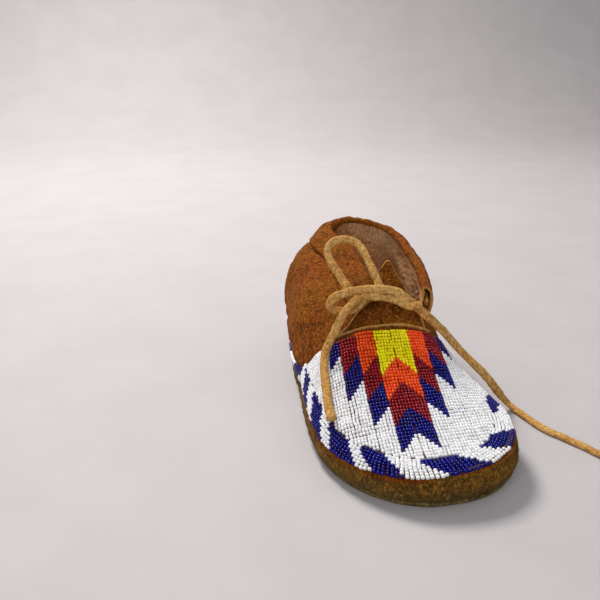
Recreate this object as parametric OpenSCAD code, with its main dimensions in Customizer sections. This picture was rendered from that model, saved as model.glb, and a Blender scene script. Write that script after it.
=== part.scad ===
// Low-cut beaded hide moccasin, right foot.
// +Z up, toe towards -Y, heel towards +Y, sole bottom on z = 0. Millimetres.

/* [Size] */
// Overall length from toe to heel
shoe_length = 216; // [212:1:220]
// Widths of the whole body relative to the design width
width_scale = 1; // [0.95:0.01:1.05]
// Height of the collar at the back of the heel
heel_height = 79; // [77:1:81]
// Height of the collar at its front ends
collar_front_height = 65; // [64:1:66]

/* [Hide] */
// Thickness of the suede upper
hide = 1.6; // [1.2:0.1:1.8]
// Thickness of the rawhide sole
sole_thick = 3.5; // [3:0.5:4]
// Height of the folded cuff that carries the drawstring
cuff_height = 13; // [12:1:14]

/* [Beadwork] */
// Depth of the bead layer over the hide
bead_layer = 1.8; // [1.5:0.1:2]
// Rows of one colour step of the pattern, measured along the shoe
colour_step = 15; // [13:1:16]

/* [Lace] */
// Width of the buckskin thong
lace_width = 5; // [4:0.5:5]
// Thickness of the buckskin thong
lace_thick = 2.6; // [2.2:0.2:2.8]

/* [Hidden] */

half_length = shoe_length / 2;
// Lengths of the round caps of the outline, and how square they are
toe_cap = 52;
heel_cap = 36;
cap_power = 2.3;
// Half widths, every eighth of the length from toe to heel, before the caps
left_widths = [41, 45, 46.5, 45.5, 43, 42, 39, 36, 33.5] * width_scale;
right_widths = [50, 50, 49, 46.5, 41, 37.5, 35.5, 34.5, 33.5] * width_scale;
// Height of the welt's upper edge, and of the ridge of the vamp
welt_heights = [15, 14, 13, 12, 11, 11, 12, 14, 15];
ridge_heights = [19, 21.5, 29.5, 42.5, 58.5, 65, 65, 65, 65];
// The bead edge is this much lower at the left of the toe and higher at its right
toe_tilt = 4.5;
// Share of the half width left inside the beaded lane
lane_inner = [0.79, 0.79, 0.83, 0.88, 0.9, 0.9, 0.9, 0.9, 0.9];
lane_outer = 0.97;
lane_width = 12;
// Where the vamp ends and the tongue begins
seam_y = -15;
// Collar: its middle line and half widths from front to heel, and its ends.
// The soft left wall slouches outwards and pulls the collar to the right.
collar_x = [9, 9, 8, 6, 4];
collar_left = [14, 13, 13, 18, 20];
collar_right = [14, 19, 22, 23, 20];
collar_front_y = -5;
collar_back_y = half_length - 7;
straight_share = 0.66;
// The wall's foot stands this far inside the welt
wall_inset = 1.6;
wall_front_y = -3;
// How far a wall stands out from a straight line, at a third and two thirds of its height
left_bulge = [18.5, 21];
left_lift = [2, 8];
right_bulge = [5, 3];
heel_bulge = [3, 2];
gap = 0.3;
// The tongue leans back at its first angle at its foot and its second at its top
tongue_angles = [35, 65];
tongue_long = 42;
tongue_base_z = 51.6;
lace_sides = 8;

// Points of the lace runs, in order along each run
knot_points = [[-11.5, -8, 64], [-15, -10, 61.5], [-20, -11.5, 59.5], [-26.5, -13, 59.5],
    [-31.5, -14.5, 61.5], [-33.5, -15.5, 64.5], [-32, -15.5, 68], [-27, -15, 70], [-20, -13.5, 71],
    [-13, -12.5, 71], [-5, -12, 70.5], [3, -12.5, 69], [9, -14.5, 65.5]];
loop_points = [[-18.5, -9.5, 66], [-21.5, -6, 70], [-24, -1, 74], [-26.5, 3.5, 78],
    [-28.5, 8.5, 81.5], [-29, 13, 85.5], [-25.5, 17, 89], [-18, 19.5, 90], [-11.5, 17.5, 88],
    [-8.5, 12, 84.5], [-7, 6.5, 80], [-5.5, 1, 76], [-4, -4.5, 71], [-3, -9, 66]];
short_points = [[-20, -14, 64.5], [-24, -16.5, 62.5], [-28, -19, 58], [-31, -20.5, 52.5],
    [-34, -21, 46.5], [-36.5, -22, 41], [-38.5, -27, 36], [-39.5, -34, 32], [-40.5, -43, 28.8],
    [-41.5, -53, 25.8], [-42, -62, 23.5]];
long_points = [[12.5, -17, 62.5], [17, -19.5, 58.5], [23, -20, 53], [29.5, -20, 46.5],
    [35.5, -20.5, 39.5], [41, -22.5, 33.5], [46, -26, 28.5], [51, -28, 23.5], [56.5, -28, 17],
    [61.5, -27.5, 10.5], [66, -28.5, 5], [70, -33, 1.8], [72, -40, 1.4], [74, -48, 1.4],
    [77, -56, 1.4], [82, -64, 1.4], [88, -74, 1.4], [93, -84, 1.4], [98, -93, 1.4], [105, -99, 1.4],
    [113, -100, 1.4], [120, -94, 1.4]];

function clamp(v) = max(0, min(1, v));
function mix(a, b, f) = a + (b - a) * f;

// Smooth curve through evenly spaced keys, f from 0 to 1
function curve(keys, f) = let (
    n = len(keys) - 1,
    s = clamp(f) * n,
    i = min(floor(s), n - 1),
    r = s - i,
    b = keys[i],
    c = keys[i + 1],
    a = i > 0 ? keys[i - 1] : 2 * b - c,
    d = i < n - 1 ? keys[i + 2] : 2 * c - b)
    0.5 * (2 * b + (c - a) * r + (2 * a - 5 * b + 4 * c - d) * r * r
        + (3 * b - a - 3 * c + d) * r * r * r);
function along(keys, y) = curve(keys, (y + half_length) / shoe_length);
function body_half(side, y) = along(side < 0 ? left_widths : right_widths, y);
function centre_x(y) = 5 * pow(clamp(-y / half_length), 2) - 3;
function rounded(v) = pow(max(v, 0), 2 / cap_power);

// A point of the outline scaled by rho; g runs 0 at the toe to 1 at the heel
toe_share = 0.3;
heel_share = 0.76;
function edge_y(g, rho) =
    g < toe_share ? -half_length + toe_cap * (1 - rho * rounded(cos(90 * g / toe_share)))
    : g < heel_share ? mix(toe_cap - half_length, half_length - heel_cap,
        (g - toe_share) / (heel_share - toe_share))
    : half_length - heel_cap * (1 - rho * rounded(sin(90 * (g - heel_share) / (1 - heel_share))));
function edge_turn(g) =
    g < toe_share ? rounded(sin(90 * g / toe_share))
    : g < heel_share ? 1
    : rounded(cos(90 * (g - heel_share) / (1 - heel_share)));
function edge(g, rho) = let (
    side = g < 0 ? -1 : 1,
    y = edge_y(abs(g), rho))
    [centre_x(y) + side * body_half(side, y) * rho * edge_turn(abs(g)), y];

// Upper edge of the welt, and the domed forefoot where the outline share is rho
function welt_top(x, y) = let (f = clamp((-y - 5) / 60))
    along(welt_heights, y)
    + toe_tilt * f * f * (3 - 2 * f) * max(-1, min(1, (x - centre_x(y)) / 46));
function dome(x, y, rho) = let (low = welt_top(x, y))
    low + (along(ridge_heights, y) - low) * pow(max(0, 1 - pow(rho, 2.2)), 0.6);
function outline_share(x, y) = let (
    side = x < centre_x(y) ? -1 : 1,
    cap = clamp(1 - (y + half_length) / toe_cap))
    pow(pow(abs(x - centre_x(y)) / body_half(side, y), cap_power) + pow(cap, cap_power),
        1 / cap_power);

// Wall of the quarters: s runs from the front edge to the heel, q from welt to collar
function wall_turn(s) = s < straight_share ? 0 : 90 * (s - straight_share) / (1 - straight_share);
function base_y(s) = s < straight_share
    ? mix(wall_front_y, half_length - heel_cap, s / straight_share)
    : half_length - heel_cap + (heel_cap - wall_inset) * rounded(sin(wall_turn(s)));
function collar_y(s) = s < straight_share
    ? mix(collar_front_y, collar_back_y - 30, s / straight_share)
    : collar_back_y - 30 * (1 - rounded(sin(wall_turn(s))));
function collar_z(s) = mix(collar_front_height, heel_height, pow(s, 1.1));
function bulge(keys, q) = curve([0, keys[0], keys[1], 0], q);
function wall(side, s, q) = let (
    turn = rounded(cos(wall_turn(s))),
    yb = base_y(s),
    swell = bulge(side < 0 ? left_bulge : right_bulge, q) * turn,
    lift = side < 0 ? bulge(left_lift, q) * turn : 0,
    xb = centre_x(yb) + side * (body_half(side, yb) - wall_inset) * turn,
    xk = curve(collar_x, s) + side * curve(side < 0 ? collar_left : collar_right, s) * turn)
    [mix(xb, xk, q) + side * swell, mix(yb, collar_y(s), q) + bulge(heel_bulge, q) * (1 - turn),
        mix(along(welt_heights, yb), collar_z(s), q) + lift];
function wall_height(side, s) = (collar_z(s) - along(welt_heights, base_y(s)))
    * (side < 0 ? mix(1.05, 1.45, rounded(cos(wall_turn(s)))) : 1.05);

function unit(v) = v / max(norm(v), 0.000001);

// A shell over a surface point function: from depth d0 to d1 along its normal
function lifted(skin, u, v, flip, d) = let (
    step = 0.004,
    du = skin(min(u + step, 1), v) - skin(max(u - step, 0), v),
    dv = skin(u, min(v + step, 1)) - skin(u, max(v - step, 0)))
    skin(u, v) + unit(cross(du, dv)) * (flip ? -d : d);
module shell(skin, nu, nv, flip, d0, d1) {
    row = nv + 1;
    size = (nu + 1) * row;
    points = [for (d = [d0, d1], i = [0:nu], j = [0:nv]) lifted(skin, i / nu, j / nv, flip, d)];
    function at(k, i, j) = k * size + i * row + j;
    faces = concat(
        [for (i = [0:nu - 1], j = [0:nv - 1]) each [
            [at(1, i, j), at(1, i + 1, j), at(1, i + 1, j + 1)],
            [at(1, i, j), at(1, i + 1, j + 1), at(1, i, j + 1)],
            [at(0, i, j), at(0, i + 1, j + 1), at(0, i + 1, j)],
            [at(0, i, j), at(0, i, j + 1), at(0, i + 1, j + 1)]]],
        [for (i = [0:nu - 1]) each [
            [at(0, i, 0), at(0, i + 1, 0), at(1, i + 1, 0)],
            [at(0, i, 0), at(1, i + 1, 0), at(1, i, 0)],
            [at(0, i, nv), at(1, i, nv), at(1, i + 1, nv)],
            [at(0, i, nv), at(1, i + 1, nv), at(0, i + 1, nv)]]],
        [for (j = [0:nv - 1]) each [
            [at(0, 0, j), at(1, 0, j), at(1, 0, j + 1)],
            [at(0, 0, j), at(1, 0, j + 1), at(0, 0, j + 1)],
            [at(0, nu, j), at(0, nu, j + 1), at(1, nu, j + 1)],
            [at(0, nu, j), at(1, nu, j + 1), at(1, nu, j)]]]);
    turned = flip ? [for (f = faces) [f[0], f[1], f[2]]] : [for (f = faces) [f[0], f[2], f[1]]];
    polyhedron(points, turned, convexity = 10);
}

// A ring of section points swept along stations, closed at both ends
module sweep(rings) {
    n = len(rings[0]);
    m = len(rings);
    points = [for (r = rings, p = r) p];
    sides = [for (i = [0:m - 2], j = [0:n - 1]) each [
        [i * n + j, (i + 1) * n + j, (i + 1) * n + (j + 1) % n],
        [i * n + j, (i + 1) * n + (j + 1) % n, i * n + (j + 1) % n]]];
    polyhedron(points, concat(sides, [[for (j = [0:n - 1]) j]],
        [[for (j = [n - 1:-1:0]) (m - 1) * n + j]]), convexity = 10);
}

// A thong of oval section along smooth points
function route(points, f) = [for (k = [0:2]) curve([for (p = points) p[k]], f)];
function heading(points, f) = unit(route(points, f + 0.01) - route(points, f - 0.01));
function thong_ring(points, f, up) = let (
    ahead = heading(points, f),
    across = unit(cross(up, ahead)),
    over = cross(ahead, across))
    [for (k = [0:lace_sides - 1]) let (a = 360 * k / lace_sides + 22.5)
        route(points, f) + across * lace_width / 2 * cos(a) + over * lace_thick / 2 * sin(a)];
module thong(points, count, up) {
    sweep([for (i = [0:count]) thong_ring(points, i / count, up)]);
}

// The sole: a flat rawhide plate
sole_inset = 2.5;
module sole() {
    outline = [for (k = [-60:59]) edge(k / 60, 1 - sole_inset / 46)];
    color("#8a7a58") linear_extrude(sole_thick) polygon(outline);
}

// The welt: a rolled strip round the sole's edge, g from one end to the other
function welt_point(g, v) = let (
    inset = v < 0.5 ? 2.2 * pow(1 - 2 * v, 2) : 0.6 * pow(2 * v - 1, 2),
    p = edge(g, 1 - inset / 46),
    top = welt_top(p.x, p.y) - welt_gap)
    [p.x, p.y, mix(sole_thick + gap, top, v)];
welt_joint = 0.62;
welt_gap = 1.8;
module welt_front() {
    color("#8d6a34") shell(function(u, v) welt_point(mix(-welt_joint, welt_joint, u), v),
        64, 4, false, -2, 0);
}
module welt_rear() {
    color("#8d6a34") for (side = [-1, 1])
        shell(function(u, v) welt_point(side * mix(welt_joint + 0.004, 0.998, u), v),
            20, 4, side < 0, -2, 0);
}

// The vamp: the domed forefoot hide, u across and v from the toe to the tongue seam
function vamp_rear(r) = seam_y + 10.5 * pow(abs(r), 2.6);
function vamp_point(u, v) = let (
    r = sin(mix(-90, 90, u)),
    y = mix(1 - half_length, vamp_rear(r), 1 - cos(90 * v)),
    cap = clamp(1 - (y + half_length) / toe_cap),
    half = body_half(r, y) * pow(max(0, 1 - pow(cap, cap_power)), 1 / cap_power),
    x = centre_x(y) + r * half * 0.998)
    [x, y, dome(x, y, min(1, outline_share(x, y)))];
module vamp() {
    color("#96602d") shell(function(u, v) vamp_point(u, v), 28, 18, false, -hide, 0);
}

module quarter(side) {
    color("#9c5f2e") shell(function(u, v) wall(side, mix(0, 0.998, u), mix(0.01, 1, v)),
        30, 8, side < 0, -hide, 0);
}
module quarter_left() {
    quarter(-1);
}
module quarter_right() {
    quarter(1);
}

// The strip over the back seam, between the beaded lane and the cuff
function heel_point(u, q) = wall(u < 0.5 ? -1 : 1, 1 - 0.09 * abs(2 * u - 1), q);
module back_seam() {
    color("#8f5a2c") shell(function(u, v) heel_point(u, mix(0.24, 0.75, v)), 8, 6, true, 0.3, 1.5);
}

// The tongue, hinged along its seam to the vamp
function tongue_point(u, v) = let (
    r = 2 * u - 1,
    lean = tongue_angles[0] + (tongue_angles[1] - tongue_angles[0]) * v / 2,
    f = clamp(v / 0.3),
    x_left = mix(-21, 0, f * f * (3 - 2 * f)),
    x_right = mix(19, 15, v))
    [mix(x_left, x_right, u),
        seam_y + 1.4 + tongue_long * v * cos(lean),
        tongue_base_z + tongue_long * v * sin(lean) - 5 * r * r * clamp(1 - 1.4 * v)];
module tongue() {
    color("#a0622f") shell(function(u, v) tongue_point(u, v), 12, 12, false, -hide, 0);
}

// The cuff: the collar's edge folded down outside to make a casing for the lace.
// Its section is given as [distance below the collar, distance outside the wall].
function cuff_section() = [[cuff_height, 0.3], [cuff_height, 1.9], [6.5, 5.6], [1, 4.7], [-1.9, 2.4],
    [-1.9, -1.6], [-0.3, -1.6], [-0.3, 1.4], [2, 3.3], [6.5, 4], [11.5, 0.4]];
function wall_lifted(side, s, below, out) = let (
    v = 1 - below / wall_height(side, s),
    inner = min(v, 0.99))
    lifted(function(u, v) wall(side, u, v), s, inner, side < 0, out)
        + wall(side, s, v) - wall(side, s, inner);
module cuff(side) {
    stations = [for (i = [0:24]) mix(0.01, 0.993, i / 24)];
    ring = cuff_section();
    order = side < 0 ? ring : [for (i = [len(ring) - 1:-1:0]) ring[i]];
    color("#94602f") sweep([for (s = stations) [for (p = order) wall_lifted(side, s, p[0], p[1])]]);
}
module cuff_left() {
    cuff(-1);
}
module cuff_right() {
    cuff(1);
}

// The drawstring, hidden in the casing round the heel from one cuff end to the other
lace_below = 5.5;
lace_out = 1.9;
function casing_ring(side, s) =
    [for (k = [0:lace_sides - 1]) let (a = 360 * k / lace_sides + 22.5)
        wall_lifted(side, s, lace_below + lace_width / 2 * cos(a), lace_out + lace_thick / 2 * sin(a))];
module drawstring() {
    left = [for (i = [0:13]) casing_ring(-1, mix(0.02, 0.97, i / 13))];
    right = [for (i = [13:-1:0]) casing_ring(1, mix(0.02, 0.97, i / 13))];
    color("#c9a063") sweep(concat(left, right));
}

module bow_knot() {
    color("#c9a063") thong(knot_points, 18, [0, -0.7, 0.7]);
}
module bow_loop() {
    color("#c9a063") thong(loop_points, 16, [0, -0.8, 0.6]);
}
module lace_end_short() {
    color("#c9a063") thong(short_points, 14, [0, -0.3, 1]);
}
module lace_end_long() {
    color("#c9a063") thong(long_points, 26, [0, 0, 1]);
}

// Bead patches on the dome, x across and y along the shoe, one panel per colour step
bead_gap = 0.15;
column_edges = [9, 18, 27, 33];
function dome_point(x, y) = [x, y, dome(x, y, min(1, outline_share(x, y)))];
module bead_panel(x0, x1, y0, y1) {
    shell(function(u, v) dome_point(mix(x0 + bead_gap, x1 - bead_gap, u),
        mix(y1 + bead_gap, y0 - bead_gap, v)), 3, 3, false, 0.2, bead_layer);
}
beads_start = seam_y - 1.5;
// A step of one column: 0 is the centre, counted from the tongue seam
module column_step(column, first, last) {
    y0 = beads_start - first * colour_step;
    y1 = beads_start - last * colour_step;
    if (column == 0)
        bead_panel(-column_edges[0], column_edges[0], y0, y1);
    else
        for (side = [-1, 1])
            bead_panel(side < 0 ? -column_edges[column] : column_edges[column - 1],
                side < 0 ? -column_edges[column - 1] : column_edges[column], y0, y1);
}
module vamp_beads_yellow() {
    color("yellow") column_step(0, 0, 1);
}
module vamp_beads_orange() {
    color("orangered") {
        column_step(0, 1, 2);
        column_step(1, 0, 0.8);
    }
}
module vamp_beads_red() {
    color("#96102a") {
        column_step(0, 2, 3);
        column_step(1, 0.8, 1.8);
        column_step(2, 0, 0.7);
    }
}
module vamp_beads_navy() {
    color("#15157a") {
        column_step(0, 3, 4);
        column_step(1, 1.8, 2.8);
        column_step(2, 0.7, 1.7);
        column_step(3, 0, 0.7);
    }
}
// White ground: from the end of each coloured column to the lane at the toe
function toe_limit(x) = -half_length + toe_cap
    * (1 - 0.74 * pow(max(0, 1 - pow(abs(x) / 36, cap_power)), 1 / cap_power));
module ground_panel(x0, x1, y0) {
    shell(function(u, v) let (x = mix(x0 + bead_gap, x1 - bead_gap, u))
        dome_point(x, mix(toe_limit(x) + 0.5, y0 - bead_gap, v)), 4, 12, false, 0.2, bead_layer);
}
module vamp_beads_white() {
    steps = [4, 2.8, 1.7, 0.7];
    color("white") {
        ground_panel(-column_edges[0], column_edges[0], beads_start - steps[0] * colour_step);
        for (k = [1:3]) {
            ground_panel(-column_edges[k], -column_edges[k - 1], beads_start - steps[k] * colour_step);
            ground_panel(column_edges[k - 1], column_edges[k], beads_start - steps[k] * colour_step);
        }
    }
}

// The beaded lane round the sole: slanted blocks, front on the dome, rear on the wall
lane_front_share = 0.465;
front_blocks = 7;
rear_blocks = 4;
function lane_point(g, v) = let (p = edge(g, mix(lane_outer, curve(lane_inner, abs(g)), v)))
    [p.x, p.y, dome(p.x, p.y, mix(lane_outer, curve(lane_inner, abs(g)), v))];
module lane_front(first) {
    pitch = 2 * lane_front_share / front_blocks;
    for (k = [0:front_blocks - 1]) {
        start = -lane_front_share + pitch * (k + first / 2);
        shell(function(u, v) lane_point(start + pitch * mix(0.005, 0.495, u), v),
            6, 3, false, 0.2, bead_layer);
    }
}
module lane_rear(first) {
    pitch = 0.98 / rear_blocks;
    for (side = [-1, 1], k = [0:rear_blocks - 1]) {
        start = 0.004 + pitch * (k + first / 2);
        shell(function(u, v) let (s = start + pitch * mix(0.01, 0.49, u))
            wall(side, s, mix(0.04, lane_width / wall_height(side, s), v)),
            5, 3, side < 0, 0.2, bead_layer);
    }
}
module lane_beads_navy() {
    color("#15157a") {
        lane_front(0);
        lane_rear(0);
    }
}
module lane_beads_white() {
    color("white") {
        lane_front(1);
        lane_rear(1);
    }
}

// Short stitches, each a bar of thread between two points
thread = 0.6;
module stitch(a, b) {
    run = b - a;
    translate(a) rotate([0, acos(run.z / norm(run)), atan2(run.y, run.x)])
        cylinder(h = norm(run), d = thread, $fn = 16);
}
module tongue_stitches() {
    color("#d8c9a4") for (x = [-20:4:20])
        stitch(dome_point(x, seam_y - 1.2) + [0, 0, 0.7], dome_point(x, seam_y) + [0, 0, 0.9]);
}
module cuff_stitches() {
    color("#d8c9a4") for (side = [-1, 1], i = [1:20])
        stitch(wall_lifted(side, i / 22, cuff_height + 0.7, 0.5),
            wall_lifted(side, i / 22 + 0.02, cuff_height + 0.7, 0.5));
}
module back_stitches() {
    color("#d8c9a4") for (side = [-1, 1], i = [0:6])
        stitch(wall_lifted(side, 0.9, mix(18, 40, i / 6), 0.5),
            wall_lifted(side, 0.9, mix(18, 40, i / 6) + 2.4, 0.5));
}
module sole_stitches() {
    color("#d8c9a4") for (k = [-29:29]) {
        a = edge(k / 30, 0.88);
        b = edge((k + 0.5) / 30, 0.88);
        stitch([a.x, a.y, sole_thick + 0.4], [b.x, b.y, sole_thick + 0.4]);
    }
}

sole();
welt_front();
welt_rear();
vamp();
quarter_left();
quarter_right();
back_seam();
tongue();
cuff_left();
cuff_right();
drawstring();
bow_knot();
bow_loop();
lace_end_short();
lace_end_long();
vamp_beads_yellow();
vamp_beads_orange();
vamp_beads_red();
vamp_beads_navy();
vamp_beads_white();
lane_beads_navy();
lane_beads_white();
tongue_stitches();
cuff_stitches();
back_stitches();
sole_stitches();
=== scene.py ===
"""A low beaded hide moccasin, right foot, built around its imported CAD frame.

Lengths in the shape functions are millimetres and turn into metres where a mesh is made.
+X is the big-toe side, -Y the toe and +Z up.
"""

import math

import bpy
import numpy as np
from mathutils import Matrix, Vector


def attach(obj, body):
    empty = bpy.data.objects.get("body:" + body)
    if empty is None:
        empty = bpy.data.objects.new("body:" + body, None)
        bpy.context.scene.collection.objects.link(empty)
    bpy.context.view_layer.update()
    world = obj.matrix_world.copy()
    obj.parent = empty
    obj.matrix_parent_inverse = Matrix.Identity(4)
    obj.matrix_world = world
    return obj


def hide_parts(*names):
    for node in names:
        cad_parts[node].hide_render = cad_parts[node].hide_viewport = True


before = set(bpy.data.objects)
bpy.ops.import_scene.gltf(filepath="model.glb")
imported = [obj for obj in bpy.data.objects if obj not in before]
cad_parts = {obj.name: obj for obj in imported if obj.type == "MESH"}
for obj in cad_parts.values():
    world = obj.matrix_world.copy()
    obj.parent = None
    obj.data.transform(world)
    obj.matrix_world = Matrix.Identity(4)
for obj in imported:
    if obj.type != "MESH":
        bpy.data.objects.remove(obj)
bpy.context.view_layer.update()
rng = np.random.default_rng(41)
MM = 0.001

# ---------------------------------------------------------------- camera
camera = bpy.data.objects.new("camera", bpy.data.cameras.new("camera"))
bpy.context.collection.objects.link(camera)
bpy.context.scene.camera = camera
CAMERA_PLACE = Vector((-0.107, -0.351, 0.199))
CAMERA_TARGET = Vector((-0.0502, -0.020, 0.0702))
camera.location = CAMERA_PLACE
camera.rotation_euler = (CAMERA_TARGET - CAMERA_PLACE).to_track_quat("-Z", "Y").to_euler()
camera.data.lens = 41.8
camera.data.sensor_width = 36
camera.data.clip_start = 0.01

bpy.context.scene.view_settings.view_transform = "Standard"

# ---------------------------------------------------------------- shape of the moccasin
HALF_LENGTH = 108.0
TOE_CAP, HEEL_CAP, CAP_POWER = 52.0, 36.0, 2.3
LEFT_WIDTHS = [41, 45, 46.5, 45.5, 43, 42, 39, 36, 33.5]
RIGHT_WIDTHS = [50, 50, 49, 46.5, 41, 37.5, 35.5, 34.5, 33.5]
HALF_WIDTH = 46  # about the mean, for insets in millimetres
WELT_HEIGHTS = [15, 14, 13, 12, 11, 11, 12, 14, 15]
RIDGE_HEIGHTS = [19, 21.5, 29.5, 42.5, 58.5, 65, 65, 65, 65]
TOE_TILT = 4.5  # the bead edge is this much lower on the left of the toe, higher on the right
SEAM_Y = -15.0
TOE_SHARE, HEEL_SHARE = 0.3, 0.76
COLLAR_FRONT_Y, COLLAR_BACK_Y = -5.0, 101.0
COLLAR_X = [9, 9, 8, 6, 4]
COLLAR_HALVES = {-1: [14, 13, 13, 18, 20], 1: [14, 19, 22, 23, 20]}
COLLAR_FRONT_Z, COLLAR_BACK_Z = 65.0, 79.0
STRAIGHT_SHARE = 0.66
WALL_INSET, WALL_FRONT_Y = 1.6, -3.0
BULGE = {-1: [0, 18.5, 21, 0], 1: [0, 5, 3, 0]}
LEFT_LIFT = [0, 2, 8, 0]
HEEL_BULGE = [0, 3, 2, 0]
REAR_EASE = 0.88  # the left wall slouches less towards the heel
HIDE = 1.6


def curve(keys, f):
    """Smooth curve through evenly spaced keys, f from 0 to 1."""
    keys = np.asarray(keys, float)
    last = len(keys) - 1
    s = np.clip(f, 0, 1) * last
    i = np.minimum(np.floor(s).astype(int), last - 1)
    r = s - i
    b, c = keys[i], keys[i + 1]
    if keys.ndim > 1:
        r = r[..., None]
        first, final = (i == 0)[..., None], (i == last - 1)[..., None]
    else:
        first, final = i == 0, i == last - 1
    a = np.where(first, 2 * b - c, keys[np.maximum(i - 1, 0)])
    d = np.where(final, 2 * c - b, keys[np.minimum(i + 2, last)])
    return 0.5 * (2 * b + (c - a) * r + (2 * a - 5 * b + 4 * c - d) * r**2
                  + (3 * b - a - 3 * c + d) * r**3)


def mix(a, b, f):
    return a + (b - a) * f


def smooth(f):
    f = np.clip(f, 0, 1)
    return f * f * (3 - 2 * f)


def along(keys, y):
    return curve(keys, (np.asarray(y, float) + HALF_LENGTH) / (2 * HALF_LENGTH))


def half_width(side, y):
    return np.where(np.asarray(side) < 0, along(LEFT_WIDTHS, y), along(RIGHT_WIDTHS, y))


def centre_x(y):
    return 5 * np.clip(-np.asarray(y) / HALF_LENGTH, 0, 1) ** 2 - 3


def rounded(v):
    return np.maximum(v, 0) ** (2 / CAP_POWER)


def edge(g, rho):
    """Plan outline scaled by rho. g runs 0 at the toe to 1 (right) or -1 (left) at the heel."""
    g, rho = np.broadcast_arrays(np.asarray(g, float), np.asarray(rho, float))
    a = np.abs(g)
    toe_turn = np.pi / 2 * a / TOE_SHARE
    heel_turn = np.pi / 2 * (a - HEEL_SHARE) / (1 - HEEL_SHARE)
    toe_y = -HALF_LENGTH + TOE_CAP * (1 - rho * rounded(np.cos(toe_turn)))
    side_y = mix(TOE_CAP - HALF_LENGTH, HALF_LENGTH - HEEL_CAP,
                 (a - TOE_SHARE) / (HEEL_SHARE - TOE_SHARE))
    heel_y = HALF_LENGTH - HEEL_CAP * (1 - rho * rounded(np.sin(heel_turn)))
    y = np.where(a < TOE_SHARE, toe_y, np.where(a < HEEL_SHARE, side_y, heel_y))
    turn = np.where(a < TOE_SHARE, rounded(np.sin(toe_turn)),
                    np.where(a < HEEL_SHARE, 1, rounded(np.cos(heel_turn))))
    side = np.where(g < 0, -1, 1)
    return centre_x(y) + side * half_width(side, y) * rho * turn, y


def welt_top(x, y):
    tilt = TOE_TILT * smooth((-np.asarray(y) - 5) / 60)
    return along(WELT_HEIGHTS, y) + tilt * np.clip((x - centre_x(y)) / HALF_WIDTH, -1, 1)


def outline_share(x, y):
    side = np.where(x < centre_x(y), -1, 1)
    cap = np.clip(1 - (y + HALF_LENGTH) / TOE_CAP, 0, 1)
    across = np.abs(x - centre_x(y)) / half_width(side, y)
    return (across**CAP_POWER + cap**CAP_POWER) ** (1 / CAP_POWER)


def dome(x, y):
    """Point of the forefoot over plan position x, y."""
    x, y = np.broadcast_arrays(np.asarray(x, float), np.asarray(y, float))
    share = np.minimum(outline_share(x, y), 1)
    low = welt_top(x, y)
    return np.stack([x, y, low + (along(RIDGE_HEIGHTS, y) - low) * (1 - share**2.2) ** 0.6], -1)


def vamp_rear(r):
    return SEAM_Y + 10.5 * np.abs(r) ** 2.6


def vamp_at(r, y):
    """Forefoot point at share r of the half width."""
    cap = np.clip(1 - (y + HALF_LENGTH) / TOE_CAP, 0, 1)
    half = half_width(r, y) * np.maximum(0, 1 - cap**CAP_POWER) ** (1 / CAP_POWER)
    return dome(centre_x(y) + r * half * 0.998, y)


def vamp_skin(u, v):
    r = np.sin(mix(-np.pi / 2, np.pi / 2, u))
    return vamp_at(r, mix(1 - HALF_LENGTH, vamp_rear(r), 1 - np.cos(np.pi / 2 * v)))


def plain_wall(side, s, q):
    """Wall of the quarter: s from its front edge to the heel, q from the welt to the collar."""
    s, q = np.broadcast_arrays(np.asarray(s, float), np.asarray(q, float))
    bend = np.where(s < STRAIGHT_SHARE, 0,
                    np.pi / 2 * (s - STRAIGHT_SHARE) / (1 - STRAIGHT_SHARE))
    turn = rounded(np.cos(bend))
    base_y = np.where(s < STRAIGHT_SHARE,
                      mix(WALL_FRONT_Y, HALF_LENGTH - HEEL_CAP, s / STRAIGHT_SHARE),
                      HALF_LENGTH - HEEL_CAP + (HEEL_CAP - WALL_INSET) * rounded(np.sin(bend)))
    collar_y = np.where(s < STRAIGHT_SHARE,
                        mix(COLLAR_FRONT_Y, COLLAR_BACK_Y - 30, s / STRAIGHT_SHARE),
                        COLLAR_BACK_Y - 30 * (1 - rounded(np.sin(bend))))
    ease = mix(1, REAR_EASE, smooth((s - 0.2) / 0.45)) if side < 0 else 1
    swell = curve(BULGE[side], q) * turn * ease
    lift = curve(LEFT_LIFT, q) * turn * ease if side < 0 else 0
    base_x = centre_x(base_y) + side * (half_width(side, base_y) - WALL_INSET) * turn
    collar_x = curve(COLLAR_X, s) + side * curve(COLLAR_HALVES[side], s) * turn
    collar_z = mix(COLLAR_FRONT_Z, COLLAR_BACK_Z, s**1.1)
    low = along(WELT_HEIGHTS, base_y)
    return np.stack([mix(base_x, collar_x, q) + side * swell,
                     mix(base_y, collar_y, q) + curve(HEEL_BULGE, q) * (1 - turn),
                     mix(low, collar_z, q) + lift], -1)


BULGE_START = 9.0  # how far the wall swings outwards on its way
JOIN = 0.3  # the quarter leaves the vamp's edge and has joined the plain wall at this s
RIM_SHARES = {-1: [1, 0.985, 0.95, 0.86, 0.73], 1: [1, 0.985, 0.95, 0.88, 0.76, 0.6]}
SLIT = {-1: [(-24.0, -13.5, 50.5), (-15.5, -7.0, 57.5), (-5.0, -4.0, 65.0)],
        1: [(20.5, -9.0, 54.5), (23.0, -5.0, 65.0)]}


def front_edge(side, q):
    """The quarter's front edge: up the vamp's rear edge, then the open slit to the collar."""
    r = side * np.array(RIM_SHARES[side])
    return curve([*vamp_at(r, vamp_rear(r)), *np.array(SLIT[side])], q)


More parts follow.
